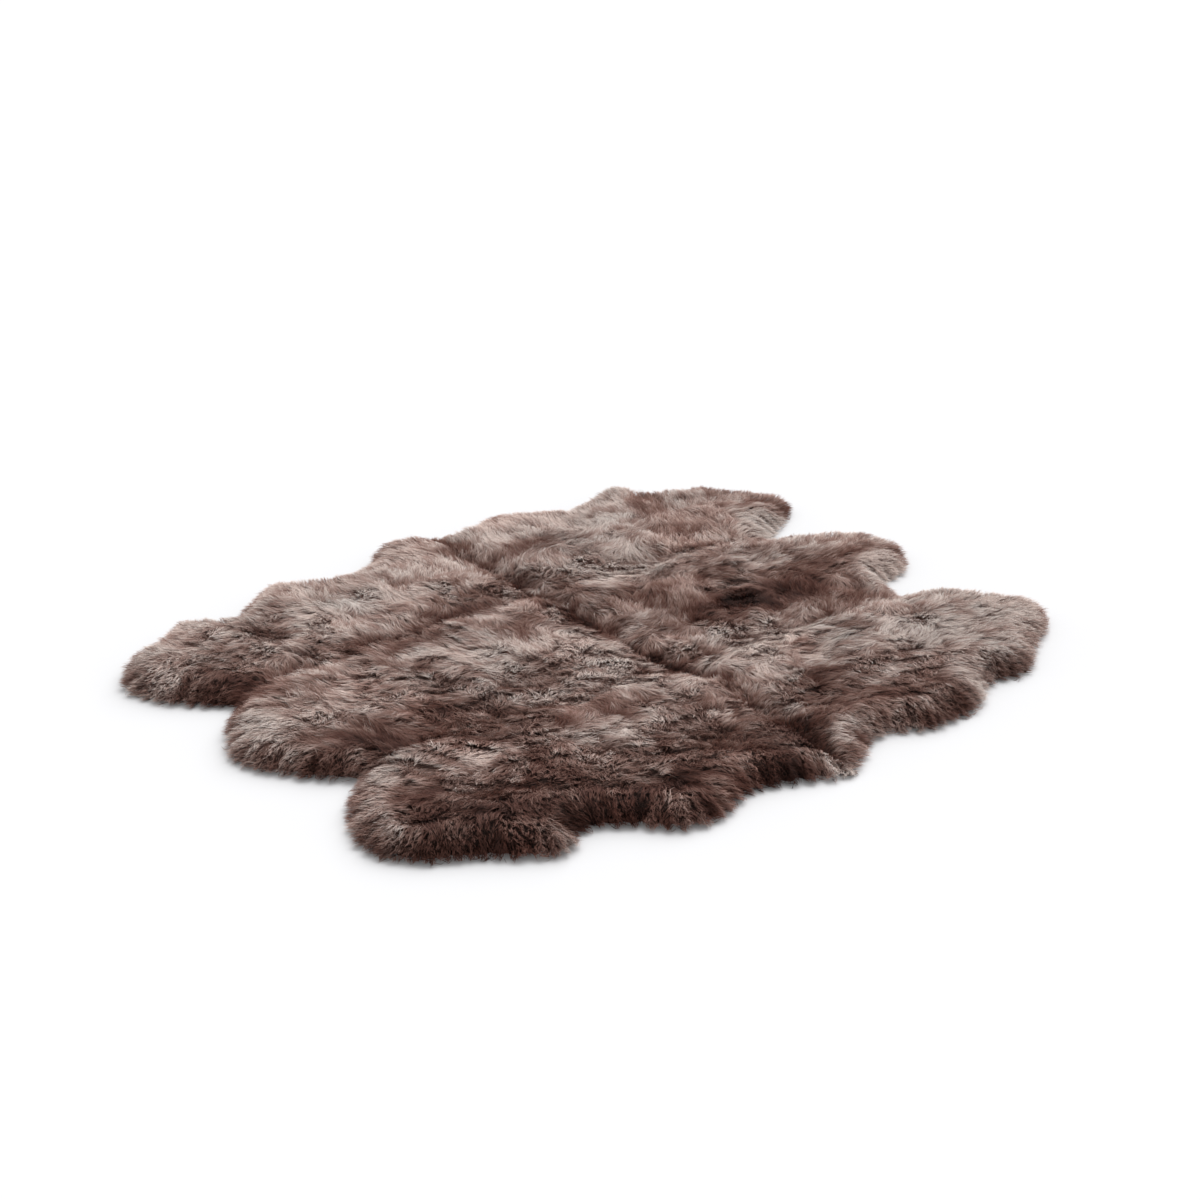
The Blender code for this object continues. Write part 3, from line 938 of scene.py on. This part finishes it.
# %% Fill the thin places
FILL_PITCH = 0.0052
FILL_MOST = 2400
FILL_RUN = 0.022
FILL_RUN_SPREAD = (0.7, 1.3)
FILL_TURN = 0.5
FILL_FORWARD = -0.25
WIDTH = 0.0011
MEAN_WIDTH_SHARE = 0.7
ROOT_DEPTH = 0.014
LAYER_SOFT = 0.007
BODY_STEPS = np.linspace(0, 1, 9)


def layers_over():
    """How many strands lie over each cell, one above the other."""
    laid = np.zeros_like(wool_here)
    for share in BODY_STEPS:
        place = wisp_tip - wisp_heading * (share * wisp_run)[:, None]
        cell = np.clip(np.round((place - corner) / CELL).astype(int), 0, cells - 1)
        np.add.at(laid, (cell[:, 0], cell[:, 1]), (wisp_run + 0.5 * ROOT_DEPTH) / len(BODY_STEPS))
    return softened(laid, LAYER_SOFT) * STRANDS_PER_WISP * MEAN_WIDTH_SHARE * WIDTH / CELL**2 / steep


layers = layers_over()
fill = scattered(FILL_PITCH)
fill = fill[nearest_cell(owner, fill) >= 0]
fill = fill[np.argsort(nearest_cell(layers, fill), kind="stable")[:FILL_MOST]]
fill_heading = turned(read(comb_heading, fill), chance.normal(0, FILL_TURN, len(fill)))
fill_run = FILL_RUN * chance.uniform(*FILL_RUN_SPREAD, len(fill))
fill_tone = chance.normal(0, WISP_TONE, len(fill))

wisps = np.concatenate([wisps, fill])
wisp_tip = np.concatenate([wisp_tip, fill])
lock_of = np.concatenate([lock_of, lock_near(fill)])
wisp_heading = np.concatenate([wisp_heading, fill_heading])
wisp_run = np.concatenate([wisp_run, fill_run])
forward = np.concatenate([forward, np.full(len(fill), FILL_FORWARD)])
wisp_tone = np.concatenate([wisp_tone, fill_tone])
steep_share = steepness(wisps)
rim_share = read(at_rim, wisps)
cross_share = read(at_cross, wisps)
print(f"{len(fill)} wisps added below {nearest_cell(layers, fill).max():.2f} layers")

# %% [markdown]
# ## The line of one strand
#
# A strand leaves its root below the surface, rises quickly, then bends over and lies along the
# surface to its tip. Three points are enough at this size. Each strand strays a little from its
# wisp, and one in twelve strays a lot, which takes the combed look off. At the rim, where the wool
# rolls down to the floor, strands reach deeper and are pushed outward.

# %% Lay the strands of some wisps
STEEP_DEPTH = 0.029
DEPTH_SPREAD = (0.75, 1.2)
ROOT_SPREAD = 0.0045
TIP_SPREAD = 0.0025
RIM_TIP_SPREAD = 0.4
STRAND_TURN = math.radians(7)
STRAY_TURN = math.radians(35)
STRAY_SHARE = 0.08
STRAND_RUN_SPREAD = (0.85, 1.15)
STRAND_PROUD = 0.001
STRAND_LIFT = 0.0012
STEEP_PROUD = 0.006
STEEP_PROUD_SPREAD = (0.1, 1.2)
SHINGLE = 0.0046
SEAM_SINK = 0.006
RIM_PUSH = 0.015
RIM_PUSH_SPREAD = (-0.1, 1.2)
RIM_SAG = 0.005
WISP_BOW = 0.0020
STRAND_BOW = 0.0010
RISES_BY = 1.7
RUNS_BY = 1.3
STEPS = np.array([0.0, 0.5, 1.0])


def in_disc(count, radius):
    """Random arrows within a disc."""
    angle = chance.uniform(0, 2 * math.pi, count)
    away = radius * np.sqrt(chance.uniform(0, 1, count))
    return np.stack([np.cos(angle) * away, np.sin(angle) * away], -1)


def strand_lines(wisp):
    """Each strand's tip, the way out of the wool there, and its points from root to tip."""
    count = len(wisp)
    rim = rim_share[wisp]
    steep_here = steep_share[wisp]
    tip = wisp_tip[wisp] + in_disc(count, TIP_SPREAD) * (1 + RIM_TIP_SPREAD * rim)[:, None]
    strays = chance.uniform(0, 1, count) < STRAY_SHARE
    own_turn = chance.normal(0, 1, count) * np.where(strays, STRAY_TURN, STRAND_TURN)
    ahead = turned(wisp_heading[wisp], own_turn)
    lean = read(top_slope, tip)
    out = unit(np.column_stack([-lean, np.ones(count)]))
    lay = unit(np.column_stack([ahead, (lean * ahead).sum(1)]))
    side = unit(np.cross(out, lay))

    run = wisp_run[wisp] * chance.uniform(*STRAND_RUN_SPREAD, count)
    depth = ROOT_DEPTH + (STEEP_DEPTH - ROOT_DEPTH) * steep_here
    depth = depth * chance.uniform(*DEPTH_SPREAD, count)
    proud = STRAND_PROUD + lock_lift[lock_of[wisp]] * (1 - rim) + chance.normal(0, STRAND_LIFT, count)
    proud += STEEP_PROUD * steep_here * rim * chance.uniform(*STEEP_PROUD_SPREAD, count)
    proud += SHINGLE * forward[wisp] - SEAM_SINK * cross_share[wisp]
    end = np.column_stack([tip, read(wool_top, tip)]) + out * proud[:, None]
    push = RIM_PUSH * steep_here * rim * chance.uniform(*RIM_PUSH_SPREAD, count)
    end[:, :2] += read(outward, tip) * push[:, None]
    end[:, 2] -= RIM_SAG * rim
    start = end - out * depth[:, None] - lay * run[:, None]
    start[:, :2] += in_disc(count, ROOT_SPREAD)
    bow = chance.normal(0, WISP_BOW, len(wisps))[wisp] + chance.normal(0, STRAND_BOW, count)

    line = []
    for step in STEPS:
        rise = depth * (1 - (1 - step) ** RISES_BY) - depth * step
        onward = run * step**RUNS_BY - run * step
        place = start + (end - start) * step + out * rise[:, None] + lay * onward[:, None]
        place += side * (bow * math.sin(math.pi * step))[:, None]
        line.append(place)
    return tip, out, line


# %% [markdown]
# ## From line to ribbon
#
# Round strands would need many faces each. A flat ribbon needs three triangles: it is widest in
# the middle and ends in a point. Its flat side faces out of the wool, rolled a little at
# random. No point may go through the floor or stand far over the mould.

# %% Make ribbons along the lines
WIDTHS = np.array([0.8, 1.0, 0.0])
WIDTH_SPREAD = (0.75, 1.25)
RIM_BROAD = 0.1
ROLL = 0.30
FLOOR_GAP = 0.0008
FLOOR_SPREAD = 0.0015
TALLEST = cad_box[1].z + 0.009


def ribbons(line, out, edge):
    """Points, a row for each strand, and faces of ribbons along the lines."""
    count = len(out)
    roll = chance.normal(0, ROLL, count)
    points = []
    for k, share in enumerate(WIDTHS):
        way = unit(line[min(k + 1, len(STEPS) - 1)] - line[max(k - 1, 0)])
        across = unit(np.cross(way, out))
        lifted = np.cross(across, way)
        across = across * np.cos(roll)[:, None] + lifted * np.sin(roll)[:, None]
        broad = (WIDTH / 2 * share) * (1 + RIM_BROAD * edge)
        reach = across * (broad * chance.uniform(*WIDTH_SPREAD, count))[:, None]
        points += [line[k] - reach, line[k] + reach] if share else [line[k]]
    points = np.stack(points, axis=1)
    per = points.shape[1]
    lowest = FLOOR_GAP + chance.uniform(0, FLOOR_SPREAD, (count, per))
    points[:, :, 2] = np.clip(points[:, :, 2], lowest, TALLEST)
    first = np.arange(count)[:, None] * per
    faces = (first + [0, 1, 3, 2]).tolist() + (first + [2, 3, 4]).tolist()
    return points, faces


# %% [markdown]
# ## The tone of a strand
#
# The material's colour is multiplied by a tone for each strand, which adds up all that was mapped
# above, as a power of e: uneven dye, and painted light and shade. Low on the rim, and where the rim
# turns from the lamp, it is darker by painted shade, because ribbons let more light through there
# than dense wool does. Darker wool is also warmer, since light that bounces between dyed fibres
# takes up their colour.

# %% Work out the strands' tone
BASE_TONE = 0.19
DYE_TONE = 0.10
STREAK_TONE = 0.29
LOCK_TONE = 0.06
# painted light on the front of each lock and painted shade at its back
SHINGLE_LIGHT_AND_SHADE = 0.36
# painted shade in the hollows
HOLLOW_SHADE = 0.19
# painted shade in the creases
CREASE_SHADE = 0.32
STRAND_TONE = 0.12
RIM_SHADE = 0.15
RIM_SHADE_TOP = 0.042
SIDE_SHADE = 0.20
SHADE_SIDE = (-0.70, -0.71)
CONTRAST = 1.12
DARKEST = -2.6
PALEST = 0.80
WARMTH = 0.04
WARM_DRIFT = 0.025
WARM_SPREAD = 0.02
WARM_IN_SHADE = 0.285
WARM_LIMITS = (-0.50, 0.22)
BLUE_SHARE = 0.3


def strand_tones(wisp, tip, end_height):
    """The red, green and blue that each strand's colour is multiplied by."""
    count = len(wisp)
    paler = BASE_TONE + DYE_TONE * read(tone_map, tip) + STREAK_TONE * read(streak_map, tip)
    paler += LOCK_TONE * lock_tone[lock_of[wisp]] + wisp_tone[wisp]
    # painted light and shade of the listed places and of each lock's front and back
    paler += read(placed_light_and_shade, tip) + SHINGLE_LIGHT_AND_SHADE * forward[wisp]
    # painted shade in hollows, partings and creases
    paler -= HOLLOW_SHADE * read(hollow, tip) + read(parting_shade, tip) + CREASE_SHADE * read(crease_map, tip)
    # painted shade low on the rim and where the rim turns from the lamp
    paler -= RIM_SHADE * np.clip(1 - end_height / RIM_SHADE_TOP, 0, 1)
    paler -= SIDE_SHADE * steep_share[wisp] * rim_share[wisp] * (read(outward, tip) @ SHADE_SIDE)
    paler += chance.normal(0, STRAND_TONE, count)
    paler = np.clip(paler * CONTRAST, DARKEST, PALEST)
    warmth = WARMTH + WARM_DRIFT * read(warm_map, tip) - np.clip(WARM_IN_SHADE * paler, *WARM_LIMITS)
    warmth += chance.normal(0, WARM_SPREAD, count)
    return np.exp(np.stack([paler + warmth, paler, paler - BLUE_SHARE * warmth], -1))


def grow(members):
    """Points, faces and the values kept on the points, for the strands of these wisps."""
    wisp = np.repeat(members, STRANDS_PER_WISP)
    tip, out, line = strand_lines(wisp)
    points, faces = ribbons(line, out, rim_share[wisp] * steep_share[wisp])
    per = points.shape[1]
    along = np.repeat(STEPS, 2)[:per][None, :].repeat(len(wisp), 0)
    tone = strand_tones(wisp, tip, line[-1][:, 2])
    tone = tone[:, None, :].repeat(per, 1)
    return points.reshape(-1, 3), faces, along.reshape(-1), tone.reshape(-1, 3)


# %% [markdown]
# ## The dense underwool
#
# Between the strands the eye meets short, dense wool that hides the leather. Growing it strand by
# strand would cost as much as all the rest, so it is one soft bed: the solid again, drawn in at its
# rim and lowered, more so at the cross seam and in creases. It is nearly as dark as the roots, which
# is partly painted shade of the deep pile, and its tone carries the painted light and shade of the
# places and painted shade in the hollows.

# %% Underwool bed of one pelt
BED_DROP = 0.015
SEAM_DROP = 0.005
BED_DRAW = 0.014
FOOT_DRAW = 0.028
FOOT_HEIGHT = 0.020
BED_FLOOR = 0.0030
BED_THINNEST = 0.0001
FLAT_UNDER = 0.0005
# painted shade in the bed's hollows
BED_HOLLOW_SHADE = 0.25
BED_TONE_LIMITS = (0.3, 1.8)


def underwool(name):
    """The solid's points lowered and drawn in, its faces, and a tone for each point."""
    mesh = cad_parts[name].data
    points = np.array([v.co for v in mesh.vertices])
    rounded, which = np.unique(np.round(points, 5), axis=0, return_inverse=True)
    which = which.reshape(-1)
    flat = rounded[:, :2]
    share = read(at_rim, flat)[:, None]
    foot = np.clip(1 - rounded[:, 2:] / FOOT_HEIGHT, 0, 1)
    moved = flat - read(outward, flat) * share * (BED_DRAW + (FOOT_DRAW - BED_DRAW) * foot)
    sunk = BED_DROP + SEAM_DROP * read(at_cross, flat) + CREASE_DEEP * read(crease_map, flat)
    lowered = np.clip(rounded[:, 2] - sunk, BED_FLOOR + BED_THINNEST, None)
    lowered = np.where(rounded[:, 2] < FLAT_UNDER, BED_FLOOR, lowered)
    faces = [[int(which[v]) for v in p.vertices] for p in mesh.polygons]
    faces = [f for f in faces if len(set(f)) > 2]
    # painted light and shade of the places, and painted shade in the hollows
    tone = np.exp(read(placed_light_and_shade, moved) - BED_HOLLOW_SHADE * read(hollow, moved))
    tone = np.repeat(np.clip(tone, *BED_TONE_LIMITS)[:, None], 3, 1)
    return np.column_stack([moved, lowered]), faces, tone


# %% [markdown]
# ## One piece of wool for each pelt
#
# Strands and bed of a pelt are joined into one mesh, which takes the place of the solid. How far
# along its strand a point is, and its tone, are kept on the points for the material.

# %% Make the wool of each pelt
triangles = 0
for number, name in enumerate(pelts):
    members = np.flatnonzero(nearest_cell(owner, wisps) == number)
    points, faces, along, tone = grow(members)
    bed_points, bed_faces, bed_tone = underwool(name)
    shift = len(points)
    faces += [[v + shift for v in face] for face in bed_faces]
    points = np.concatenate([points, bed_points])
    # the bed takes the colour near the root, partly painted shade of the deep pile
    along = np.concatenate([along, np.full(len(bed_points), BED_ALONG)])
    tone = np.concatenate([tone, bed_tone])
    piece = mesh_object("wool_" + name, points.tolist(), faces, wool)
    mesh = piece.data
    mesh.attributes.new("along", "FLOAT", "POINT").data.foreach_set("value", along)
    mesh.attributes.new("tone", "FLOAT_VECTOR", "POINT").data.foreach_set("vector", tone.ravel())
    mesh.shade_smooth()
    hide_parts(name)
    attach(piece, "root")
    mesh.calc_loop_triangles()
    triangles += len(mesh.loop_triangles)
    print(name, "wool:", len(members), "wisps,", len(mesh.loop_triangles), "triangles")
print("wool in all:", triangles, "triangles")

# %% [markdown]
# ## The hides
#
# Under the wool lies the skin itself: six tanned hides, two millimetres thick, sewn edge to edge,
# flesh side down. The wool hides them from above and hangs past them at the rim, so each is a flat
# sheet set in from the free edge. Its outline is walked from cell to cell along the line where a
# softened map of the wool passes a set value, so no point is listed.

# %% The outline of a hide
HIDE_EDGE_SOFT = 0.022
HIDE_EDGE_LEVEL = 0.93
SEAM_SOFT = 0.006
SEAM_LEVEL = 0.52
LEAST_SHARE = 0.05
KEEP_EACH = 3

wool_share = softened(wool_here, HIDE_EDGE_SOFT)
mine = [softened((owner == number).astype(float), SEAM_SOFT) for number in range(len(pelts))]
anyone = np.maximum(sum(mine), LEAST_SHARE)


def crossing(field, one, other):
    """The place between two neighbouring cells where the map passes 0."""
    share = field[one] / (field[one] - field[other])
    return corner + CELL * (np.array(one) + share * (np.array(other) - np.array(one)))


def cut_squares(field):
    """The pairs of cells that the line runs between, for each square of four cells."""
    inside = field > 0
    one_diagonal = inside[:-1, :-1] ^ inside[1:, 1:]
    other_diagonal = inside[1:, :-1] ^ inside[:-1, 1:]
    for i, j in np.argwhere(one_diagonal | other_diagonal):
        ring = [(i, j), (i + 1, j), (i + 1, j + 1), (i, j + 1)]
        sides = [(ring[k], ring[(k + 1) % 4]) for k in range(4)]
        yield [tuple(sorted(side)) for side in sides if inside[side[0]] != inside[side[1]]]


def walked_outline(field):
    """The longest closed line where the map passes 0, as places in order."""
    joined = {}
    for cuts in cut_squares(field):
        for one, other in zip(cuts[::2], cuts[1::2]):
            joined.setdefault(one, []).append(other)
            joined.setdefault(other, []).append(one)
    lines = []
    while joined:
        line = [next(iter(joined))]
        while True:
            ahead = [cut for cut in joined.pop(line[-1]) if cut in joined]
            if not ahead:
                break
            line.append(ahead[0])
        lines.append(line)
    longest = max(lines, key=len)
    return [crossing(field, *cut) for cut in longest[::KEEP_EACH]]


# %% [markdown]
# ## Suede
#
# The flesh side of a tanned sheepskin is suede: a matt, pale tan nap with cloudy patches where
# the skin was thicker. A plain colour would look like paper, so a broad noise tints the
# patches, and a fine one gives the nap its roughness and bump.

# %% Suede material
SUEDE_PALE = (0.66, 0.57, 0.47, 1)
SUEDE_DEEP = (0.50, 0.41, 0.32, 1)
SUEDE_ROUGHNESS = (0.80, 0.98)
CLOUD_SCALE = 9
NAP_SCALE = 420


def suede_material():
    material = plain_material("suede_hide", SUEDE_PALE, SUEDE_ROUGHNESS[1])
    shader = material.node_tree.nodes["Principled BSDF"]
    cloud = noise(material, Scale=CLOUD_SCALE, Detail=5)
    tint = ramped(material, cloud, (0.30, SUEDE_DEEP), (0.62, SUEDE_PALE))
    linked(material, tint, shader.inputs["Base Color"])
    nap = noise(material, Scale=NAP_SCALE, Detail=3)
    grained(material, nap, SUEDE_ROUGHNESS, strength=0.4, depth=0.0006)
    return material


suede = suede_material()
print("suede runs from", SUEDE_DEEP[:3], "to", SUEDE_PALE[:3])

# %% [markdown]
# ## Cutting the hides
#
# Each outline is filled with triangles, once for the underside and once for the top, and a strip
# joins the two into a closed slab. A hide lies flat, so it was cut to the size it has here.

# %% Make the hides
HIDE_UNDER = 0.0006
HIDE_OVER = 0.0026


def flat_slab(outline, low, high):
    """Points and faces of a closed flat slab with this outline."""
    count = len(outline)
    edges = [(k, (k + 1) % count) for k in range(count)]
    flat = [Vector((float(x), float(y))) for x, y in outline]
    places, _, faces, *_ = delaunay_2d_cdt(flat, edges, [], 1, 1e-6)
    total = len(places)
    points = [(p.x, p.y, low) for p in places] + [(p.x, p.y, high) for p in places]
    under = [tuple(reversed(face)) for face in faces]
    over = [tuple(v + total for v in face) for face in faces]
    walked = [(face[k], face[(k + 1) % len(face)]) for face in faces for k in range(len(face))]
    known = set(walked)
    rim = [(a, b, b + total, a + total) for a, b in walked if (b, a) not in known]
    return points, under + over + rim


for number, name in enumerate(pelts):
    field = np.minimum(wool_share - HIDE_EDGE_LEVEL, mine[number] / anyone - SEAM_LEVEL)
    outline = walked_outline(field)
    points, faces = flat_slab(outline, HIDE_UNDER, HIDE_OVER)
    hide = mesh_object("hide_" + name, points, faces, suede)
    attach(hide, "root")
